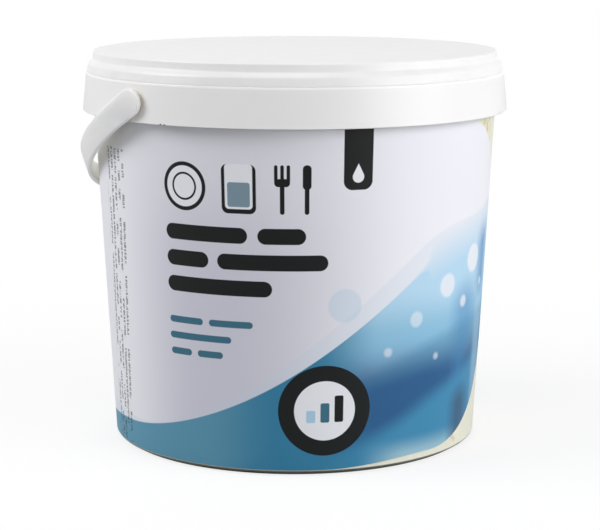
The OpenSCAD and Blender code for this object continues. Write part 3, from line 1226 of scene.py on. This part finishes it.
@dataclass(frozen=True)
class Lid:
    """The lid: a raised flat top, a sloped ledge, a skirt and a plug ring. Sizes in mm."""

    wall: Wall = field(default_factory=Wall)
    skirt_r: float = 83.2
    skirt_z: float = 147.82
    skirt_t: float = 1.3
    ledge_r: float = 82.45
    ledge_z: float = 151.2
    step_r: float = 80.8
    step_z: float = 152.9
    top_r: float = 80.4
    top_z: float = 156.0
    top_t: float = 1.4
    hollow: float = 1.4
    hollow_steps: int = 5
    bead_in: float = 0.5
    bead_back: float = 0.05
    shoulder_in: float = 0.5
    gap: float = 0.3
    plug_t: float = 1.2
    plug_h: float = 5.0
    top_round: float = 0.45
    step_round: float = 0.3
    ledge_round: float = 0.6
    skirt_round: float = 0.16
    plug_round: float = 0.3
    hollow_round: float = 1.2
    facets: int = 4

    def section(self) -> list[Corner]:
        """The lid's section, from the middle of its top round to the middle of its underside.

        Returns:
            Its corners as (radius, height, round).
        """
        inner = self.skirt_r - self.skirt_t
        ceiling = self.wall.rim_z + self.gap
        plug_r = self.wall.neck_r - self.wall.thick - self.gap
        plug_in = plug_r - self.plug_t
        foot_z = self.wall.rim_z - self.plug_h
        under_z = self.top_z - self.top_t
        shares = [step / self.hollow_steps for step in range(1, self.hollow_steps)]
        side = [(self.top_r + (self.step_r - self.top_r) * share**self.hollow,
                 self.top_z + (self.step_z - self.top_z) * share, 0) for share in shares]
        return [
            (0, self.top_z, 0), (self.top_r, self.top_z, self.top_round), *side,
            (self.step_r, self.step_z, self.step_round),
            (self.ledge_r, self.ledge_z, self.ledge_round), (self.skirt_r, self.skirt_z, 0),
            (inner, self.skirt_z, self.skirt_round),
            (inner - self.bead_in, self.skirt_z + self.bead_in, 0),
            (inner - self.bead_in, self.skirt_z + 2 * self.bead_in, 0),
            (inner - self.bead_back, self.skirt_z + 3 * self.bead_in, 0),
            (inner - self.shoulder_in, ceiling - self.gap, 0),
            (self.step_r - self.gap, ceiling, 0), (plug_r, ceiling, 0),
            (plug_r, foot_z + self.plug_t / 2, 0),
            (plug_r - self.plug_t / 2, foot_z, self.plug_round),
            (plug_in, foot_z, self.plug_round), (plug_in, under_z, self.hollow_round),
            (0, under_z, 0)]

    def build(self) -> bpy.types.Object:
        """Builds the lid and returns its object."""
        bm = turned(self.section(), facets=self.facets)
        return finished(bm, "lid_shell", WHITE_PLASTIC.make(), "lid", "lid")


@dataclass(frozen=True)
class BailHandle:
    """The handle: a flat strap bent in three arcs, with a pivot pin at each end. It is made
    flat, its pivot axis along X and its middle along Y, and then hung. Sizes are in mm."""

    pivot_z: float = 140.0
    pivot_turn: float = 45.5
    hang: float = 28.4285
    outer_r: float = 87.2
    strap_t: float = 1.8
    strap_half: float = 5.05
    inner_share: float = 0.8
    end_r: float = 5.45
    end_steps: int = 28
    edge_round: float = 0.5
    edge_facets: int = 4
    side_x: float = -9.5622
    side_arc: float = 60.0
    side_steps: int = 40
    middle_y: float = 16.5622
    middle_steps: int = 20
    taper: float = 16.0
    line_at: float = 0.56
    line_deep: float = 0.09
    line_half: float = 0.12
    line_fade: float = 0.9
    line_least: float = 0.4
    pin_r: float = 3.0
    head_r: float = 3.8
    head_from: float = 80.565
    head_to: float = 82.287
    head_round: float = 0.35
    head_back_round: float = 0.15
    spacer_r: float = 5.0
    spacer_from: float = 84.95
    slit: float = 0.8

    def half_section(self) -> list[Point]:
        """Half the strap's section, from face to face.

        Returns:
            Its corners as (outwards, across the strap).
        """
        size, half = self.edge_round, self.end_r
        inner_r, line = self.outer_r - self.strap_t, self.line_at * self.end_r
        arc = [math.pi / 2 * step / self.edge_facets for step in range(self.edge_facets + 1)]
        outer = [(self.outer_r - size + size * math.cos(a), half - size + size * math.sin(a))
                 for a in arc]
        inner = [(inner_r + size - size * math.sin(a), half - size + size * math.cos(a))
                 for a in arc]
        return [(self.outer_r, 0), (self.outer_r, line - self.line_half),
                (self.outer_r, line + self.line_half), *outer, *inner,
                (inner_r, line), (inner_r, 0)]

    def strap(self) -> Mesh:
        """The strap with its round ends.

        Returns:
            The strap's mesh, flat and in metres.
        """
        bm = bmesh.new()
        verts = [bm.verts.new((x * MM, 0, z * MM)) for x, z in self.half_section()]
        edges = [bm.edges.new(pair) for pair in zip(verts, verts[1:])]
        bmesh.ops.spin(bm, geom=verts + edges, cent=(0, 0, 0), axis=(1, 0, 0), angle=math.pi,
                       steps=self.end_steps, use_merge=False, use_duplicate=False)
        bmesh.ops.remove_doubles(bm, verts=bm.verts, dist=IN_PLANE)
        self.sink_line(bm)
        geometry = [v for v in bm.verts if abs(v.co.y) < IN_PLANE]
        geometry += [e for e in bm.edges if all(abs(v.co.y) < IN_PLANE for v in e.verts)]
        bends = ((self.side_x, 0, self.side_arc, self.side_steps),
                 (0, self.middle_y, 90 - self.side_arc, self.middle_steps))
        for x, y, degrees, steps in bends:
            bend = bmesh.ops.spin(
                bm, geom=geometry, cent=(x * MM, y * MM, 0), axis=(0, 0, 1),
                angle=math.radians(degrees), steps=steps, use_merge=False, use_duplicate=False)
            geometry = bend["geom_last"]
        narrow = self.strap_half / self.end_r
        for vert in bm.verts:
            share = smooth_step(0, self.taper * MM, vert.co.y)
            vert.co.z *= 1 + (narrow - 1) * share
        bmesh.ops.mirror(bm, geom=bm.verts[:] + bm.edges[:] + bm.faces[:],
                         matrix=Matrix.Identity(4), merge_dist=SAME_POINT, axis="X")
        bmesh.ops.remove_doubles(bm, verts=bm.verts, dist=SAME_POINT)
        bmesh.ops.recalc_face_normals(bm, faces=bm.faces)
        return bm

    def sink_line(self, bm: Mesh) -> None:
        """Sinks the strip of the outer face along the strap's upper edge a little.

        Args:
            bm: The mesh of the round end, which the strap grows from.
        """
        start = -self.line_at * self.end_r * MM
        for vert in bm.verts:
            if vert.co.z < start and vert.co.x > (self.outer_r - self.edge_round / 2) * MM:
                share = smooth_step(0, self.line_fade * MM, start - vert.co.z)
                vert.co.x -= self.line_deep * MM * max(share, self.line_least)

    def pins(self) -> Mesh:
        """Both pivot pins with their spacers and heads, along the pivot axis.

        Returns:
            Both pins as one mesh, in metres.
        """
        sunk = self.outer_r - self.strap_t / 2
        pin = turned([
            (0, self.head_from, 0), (self.head_r, self.head_from, self.head_round),
            (self.head_r, self.head_to, self.head_back_round), (self.pin_r, self.head_to, 0),
            (self.pin_r, self.spacer_from, 0), (self.spacer_r, self.spacer_from, 0),
            (self.spacer_r, sunk, 0), (0, sunk, 0)], steps=48, facets=2)
        bmesh.ops.rotate(pin, verts=pin.verts, cent=(0, 0, 0),
                         matrix=Matrix.Rotation(math.pi / 2, 3, "Y"))
        slit = bmesh.new()
        deep = self.head_to - self.head_from + self.slit
        spot = (Matrix.Translation(((self.head_to - deep / 2) * MM, 0, 0))
                @ Matrix.Diagonal((deep * MM, 4 * self.head_r * MM, self.slit * MM, 1)))
        bmesh.ops.create_cube(slit, size=1.0, matrix=spot)
        pin = joined(pin, slit, Join.CUT)
        bmesh.ops.mirror(pin, geom=pin.verts[:] + pin.edges[:] + pin.faces[:],
                         matrix=Matrix.Identity(4), merge_dist=-1.0, axis="X")
        bmesh.ops.recalc_face_normals(pin, faces=pin.faces)
        return pin

    def mark_inner_face(self, bm: Mesh) -> None:
        """Marks the points of the strap's inner face, for the material.

        Args:
            bm: The whole handle's mesh, before it is hung.
        """
        layer = bm.verts.layers.float.new(INNER_FACE)
        side_r = self.outer_r - self.side_x
        middle_r = side_r + self.side_x / math.cos(math.radians(self.side_arc))
        for vert in bm.verts:
            x, y = abs(vert.co.x) / MM, vert.co.y / MM
            turn = math.degrees(math.atan2(y, x - self.side_x))
            side = math.hypot(x - self.side_x, y) - side_r
            middle = math.hypot(x, y - self.middle_y) - middle_r
            depth = side if turn < self.side_arc else middle
            vert[layer] = 1.0 if depth < -self.inner_share * self.strap_t else 0.0

    def build(self) -> bpy.types.Object:
        """Builds the handle and hangs it from the collar.

        Returns:
            The handle's object.
        """
        bm = joined(self.strap(), self.pins(), Join.ADD)
        self.mark_inner_face(bm)
        hung = (Matrix.Translation((0, 0, self.pivot_z * MM))
                @ Matrix.Rotation(math.radians(-90 - self.pivot_turn), 4, "Z")
                @ Matrix.Rotation(math.radians(180 + self.hang), 4, "X"))
        bmesh.ops.transform(bm, matrix=hung, verts=bm.verts)
        return finished(bm, "bail_handle", HANDLE_PLASTIC.make(HandlePaint().paint), "handle",
                        "handle")


@dataclass(frozen=True)
class Label:
    """The label film round the wall, with rounded corners. Sizes are in mm and degrees."""

    wall: Wall = field(default_factory=Wall)
    low: float = 2.3
    high: float = 132.1
    right_end: float = 80.0
    bare: float = 26.0
    corner: float = 34.0
    foot_corner: float = 43.0
    tilt: float = 2.2
    tilt_angles: Point = (8.0, 42.0)
    gap: float = 0.1
    thick: float = 0.15
    columns: int = 420
    rows: int = 24
    crowding: float = 0.11

    def inset(self, from_end: float, corner: float, edge_z: float) -> float:
        """How far a rounded corner takes the upper or lower edge in.

        Args:
            from_end: Angle from the label's nearer end, in radians.
            corner: Radius of the corner.
            edge_z: Height of the corner's centre.

        Returns:
            The distance from the straight edge.
        """
        radius = self.wall.radius_at(edge_z)
        past = radius * math.sin(max(math.asin(corner / radius) - from_end, 0.0))
        return corner - math.sqrt(max(corner**2 - past**2, 0.0))

    def build(self) -> bpy.types.Object:
        """Builds the label.

        Returns:
            The label's object.
        """
        bm = bmesh.new()
        bmesh.ops.create_grid(bm, x_segments=self.columns, y_segments=self.rows, size=1.0)
        span = math.radians(360 - self.bare)
        tilt_from, tilt_to = map(math.radians, self.tilt_angles)
        for vert in bm.verts:
            across, up = (vert.co.x + 1) / 2, (vert.co.y + 1) / 2
            across -= self.crowding * math.sin(FULL_TURN * across)
            from_end = span * min(across, 1 - across)
            angle = math.radians(self.right_end) - span * (1 - across)
            foot = self.low + self.tilt * smooth_step(tilt_from, tilt_to, angle)
            foot += self.inset(from_end, self.foot_corner, foot + self.foot_corner)
            head = self.high - self.inset(from_end, self.corner, self.high - self.corner)
            height = foot + up * (head - foot)
            radius = self.wall.radius_at(height) + self.gap + self.thick
            vert.co = Vector((radius * math.sin(angle), -radius * math.cos(angle), height)) * MM
        bmesh.ops.recalc_face_normals(bm, faces=bm.faces)
        if sum(f.normal.dot(f.calc_center_median()) for f in bm.faces) < 0:
            bmesh.ops.reverse_faces(bm, faces=bm.faces)
        piece = finished(bm, "label_film", LabelPrint().make(self.wall), "pail",
                         "label")
        film = piece.modifiers.new("film", "SOLIDIFY")
        film.thickness, film.offset = self.thick * MM, -1.0
        piece.modifiers.move(1, 0)
        return piece


@dataclass(frozen=True)
class Scoop:
    """The measuring scoop that stands on the powder: a cup with a ribbed grip. In mm."""

    x: float = 32.0
    y: float = 26.0
    foot_z: float = 118.0
    top_r: float = 17.0
    base_r: float = 14.0
    height: float = 25.0
    thick: float = 1.0
    base_round: float = 0.9
    brim_round: float = 0.3
    floor_round: float = 0.8
    grip_reach: float = 78.0
    grip_w: float = 13.0
    grip_t: float = 1.6
    grip_round: float = 0.4
    rib_h: float = 4.0
    rib_sunk: float = 0.2

    def cup(self) -> Mesh:
        """The cup, standing on z = 0.

        Returns:
            The cup's mesh, in metres.
        """
        return turned([
            (0, 0, 0), (self.base_r, 0, self.base_round),
            (self.top_r, self.height, self.brim_round),
            (self.top_r - self.thick, self.height, self.brim_round),
            (self.base_r - self.thick, self.thick, self.floor_round), (0, self.thick, 0)],
            steps=72)

    def grip(self) -> Mesh:
        """The grip with its round tip and its rib.

        Returns:
            The grip's mesh, in metres.
        """
        bm = bmesh.new()
        start, reach = self.top_r - self.thick / 2, self.grip_reach - self.grip_w / 2
        half, low = self.grip_w / 2, self.height - self.grip_t
        plate = [bm.verts.new((x * MM, half * MM, low * MM)) for x in (start, reach)]
        edge = bm.edges.new(plate)
        tip_arc = bmesh.ops.spin(bm, geom=[plate[1]], cent=(reach * MM, 0, 0), axis=(0, 0, -1),
                                 angle=math.pi, steps=20, use_merge=False, use_duplicate=False)
        tip = next(g for g in tip_arc["geom_last"] if isinstance(g, bmesh.types.BMVert))
        last = bm.verts.new((start * MM, -half * MM, low * MM))
        closing = [bm.edges.new((tip, last)), bm.edges.new((last, plate[0]))]
        rim = {edge, *closing, *bm.edges}
        face = bmesh.ops.contextual_create(bm, geom=list(rim))["faces"][0]
        raised = bmesh.ops.extrude_face_region(bm, geom=[face], use_keep_orig=True)
        bmesh.ops.translate(bm, vec=(0, 0, self.grip_t * MM),
                            verts=[g for g in raised["geom"] if isinstance(g, bmesh.types.BMVert)])
        bmesh.ops.recalc_face_normals(bm, faces=bm.faces)
        flat = [e for e in bm.edges if abs(e.verts[0].co.z - e.verts[1].co.z) < IN_PLANE
                and not all(v.co.x < (start + 0.01) * MM for v in e.verts)]
        rounded(bm, flat, self.grip_round, 2)
        rib = bmesh.new()
        length = reach - start
        rib_z = self.height - self.rib_h / 2 - self.rib_sunk
        spot = (Matrix.Translation(((start + length / 2) * MM, 0, rib_z * MM))
                @ Matrix.Diagonal((length * MM, self.grip_t * MM,
                                   (self.rib_h - 2 * self.rib_sunk) * MM, 1)))
        bmesh.ops.create_cube(rib, size=1.0, matrix=spot)
        return joined(bm, rib, Join.ADD)

    def build(self) -> bpy.types.Object:
        """Builds the scoop and stands it on the powder.

        Returns:
            The scoop's object.
        """
        bm = joined(self.cup(), self.grip(), Join.ADD)
        stood = (Matrix.Translation((self.x * MM, self.y * MM, self.foot_z * MM))
                 @ Matrix.Rotation(math.atan2(-self.y, -self.x), 4, "Z"))
        bmesh.ops.transform(bm, matrix=stood, verts=bm.verts)
        return finished(bm, "scoop_moulding", SCOOP_PLASTIC.make(), "pail",
                        "scoop")


@dataclass(frozen=True)
class PowderFill:
    """The powder, level in the middle and banked up at the wall. Sizes are in mm."""

    wall: Wall = field(default_factory=Wall)
    scoop: Scoop = field(default_factory=Scoop)
    floor_z: float = 2.7
    floor_cut: float = 2.0
    level: float = 118.0
    bank: float = 3.0
    bank_w: float = 20.0
    gap: float = 0.1
    rings: int = 26
    uneven: float = 0.55
    uneven_scale: float = 90.0
    sunk: float = 0.25
    smooth_near_scoop: Point = (18.0, 26.0)
    sharp: float = 60.0

    def build(self) -> bpy.types.Object:
        """Builds the powder.

        Returns:
            The powder's object.
        """
        low_z, bank_z = self.floor_z + self.floor_cut, self.level + self.bank
        low_r, high_r = (self.wall.radius_at(z) - self.wall.thick - self.gap
                         for z in (low_z, bank_z))
        section = [(0, self.floor_z, 0), (low_r - self.floor_cut, self.floor_z, 0),
                   (low_r, low_z, 0)]
        for ring in range(self.rings + 1):
            radius = high_r * (1 - ring / self.rings)
            rise = smooth_step(high_r - self.bank_w, high_r, radius) * self.bank
            section.append((radius, self.level + rise, 0))
        bm = turned(section, steps=120)
        scoop = Vector((self.scoop.x, self.scoop.y)) * MM
        for vert in bm.verts:
            if vert.co.z > (self.level - 1) * MM and vert.co.xy.length < (high_r - 0.5) * MM:
                bumps = noise.fractal(vert.co * self.uneven_scale, 1.0, 2.0, 4)
                away = smooth_step(*self.smooth_near_scoop, (vert.co.xy - scoop).length / MM)
                vert.co.z += (self.uneven * bumps * away - self.sunk * away) * MM
        return finished(bm, "powder_fill", PowderGrains().make(), "pail", "powder",
                        self.sharp)


# Stage


@dataclass(frozen=True)
class Lamp:
    """A soft lamp that points at the tub.

    Attributes:
        name: Its name.
        angle: Where it stands: the angle from the front, to the right, in degrees.
        height: Its height in metres.
        away: Its distance from the tub's axis in metres.
        size: Width and height of its face in metres.
        power: Its power in watts.
        aim: Height on the tub's axis that it points at, in metres.
    """

    name: str
    angle: float
    height: float
    away: float
    size: tuple[float, float]
    power: float
    aim: float = 0.09

    def build(self) -> bpy.types.Object:
        """Makes the lamp.

        Returns:
            The lamp's object.
        """
        light = bpy.data.lights.new(self.name, "AREA")
        light.shape = "RECTANGLE"
        light.size, light.size_y = self.size
        light.energy = self.power
        lamp = placed(self.name, light)
        turn = math.radians(self.angle)
        lamp.location = (self.away * math.sin(turn), -self.away * math.cos(turn), self.height)
        aim = Vector((0, 0, self.aim)) - lamp.location
        lamp.rotation_euler = aim.to_track_quat("-Z", "Y").to_euler()
        return lamp


@dataclass(frozen=True)
class Studio:
    """Pale floor, soft lamps and the camera. Lengths are in metres, angles in degrees, and
    the camera's lens and sensor in mm."""

    lamps: tuple[Lamp, ...] = (
        Lamp("key from the right", 62.0, 0.52, 1.3, (1.2, 1.0), 14.4),
        Lamp("fill from the left", -80.0, 1.0, 1.3, (0.9, 0.9), 15.0),
        Lamp("glint from above", 0.0, 1.3, 0.2, (0.3, 0.3), 0.9))
    room_light: float = 0.36
    room_front: Point = (-0.4, 0.1)
    floor_tone: float = 0.4
    floor_rough: float = 0.9
    floor_share: float = 0.8
    floor_fade: Point = (0.10, 0.34)
    floor_gloss: float = 0.3
    floor_half: float = 3.0
    camera_back: float = 0.7733
    camera_up: float = 0.2094
    look_down: float = 10.38
    look_right: float = 0.15
    lens: float = 115.26
    sensor: float = 36.0
    near_clip: float = 0.01

    def shown_white(self, sheet: Sheet, gloss: Feed) -> Socket:
        """Adds what is 1 for the rays by which the background is seen.

        Args:
            sheet: The sheet of the world or the floor.
            gloss: How white glossy rays see it.

        Returns:
            The share of white, from 0 to 1.
        """
        rays = sheet.add("LightPath").outputs
        glossy = sheet.times(rays["Is Glossy Ray"], gloss)
        seen = sheet.math("MAXIMUM", rays["Is Camera Ray"], glossy)
        return sheet.math("MAXIMUM", seen, rays["Is Transmission Ray"])

    def build_room(self) -> None:
        """Makes the world: plain white where it is seen, dimmer where it lights. The gloss
        of the tub shows the white backdrop behind it and the dimmer room in front."""
        world = bpy.data.worlds.new("room")
        bpy.context.scene.world = world
        world.use_nodes = True
        sheet = Sheet(world.node_tree)
        _, way, _ = sheet.numbers(sheet.add("NewGeometry").outputs["Incoming"])
        behind = sheet.fall(way, *self.room_front)
        strength = sheet.spread(self.shown_white(sheet, behind), 0.0, 1.0, self.room_light, 1.0,
                                "LINEAR")
        light = sheet.add("Background", {"Color": WHITE, "Strength": strength})
        sheet.add("OutputWorld", {"Surface": light.outputs[0]})

    def build_floor(self) -> bpy.types.Object:
        """Makes the floor, which shows white and keeps a faint shadow.

        Returns:
            The floor's object.
        """
        material, sheet = new_finish("pale floor")
        tone = (self.floor_tone, self.floor_tone, self.floor_tone, 1)
        seen = self.shown_white(sheet, self.floor_gloss)
        matt = sheet.add("BsdfPrincipled", {
            "Base Color": sheet.mix(seen, tone, WHITE), "Roughness": self.floor_rough})
        shown = sheet.add("Emission", {"Color": WHITE, "Strength": 1.0})
        radius = PLACE.use(sheet).outputs["Radius"]
        white = sheet.spread(radius, *self.floor_fade, self.floor_share, 1.0)
        both = sheet.add("MixShader", {0: sheet.times(seen, white), 1: matt.outputs[0],
                                       2: shown.outputs[0]})
        sheet.add("OutputMaterial", {"Surface": both.outputs[0]})
        bm = bmesh.new()
        bmesh.ops.create_grid(bm, x_segments=2, y_segments=2, size=self.floor_half)
        floor = placed("pale_floor", mesh_of(bm, "pale_floor"))
        floor.data.materials.append(material)
        return floor

    def build_camera(self) -> bpy.types.Object:
        """Makes the camera at the photograph's viewing angle.

        Returns:
            The camera's object.
        """
        lens = bpy.data.cameras.new("camera")
        lens.sensor_width, lens.lens, lens.clip_start = self.sensor, self.lens, self.near_clip
        camera = placed("camera", lens)
        camera.location = (0, -self.camera_back, self.camera_up)
        camera.rotation_euler = (math.radians(90 - self.look_down), 0,
                                 math.radians(-self.look_right))
        bpy.context.scene.camera = camera
        return camera

    def build(self) -> None:
        """Makes the whole stage."""
        self.build_room()
        self.build_floor()
        for lamp in self.lamps:
            lamp.build()
        self.build_camera()
        bpy.context.scene.view_settings.view_transform = "Standard"
        log.info("stage: %d lamps", len(self.lamps))


def write_sizes() -> None:
    """Updates the view layer.
    """
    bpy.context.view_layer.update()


def main() -> None:
    """Builds the pieces and the stage in order."""
    logging.basicConfig(level=logging.INFO, format="%(name)s: %(message)s")
    for part in (Tub(), Lid(), BailHandle(), Label(), PowderFill(), Scoop()):
        part.build()
    Studio().build()
    write_sizes()


if __name__ == "__main__":
    main()
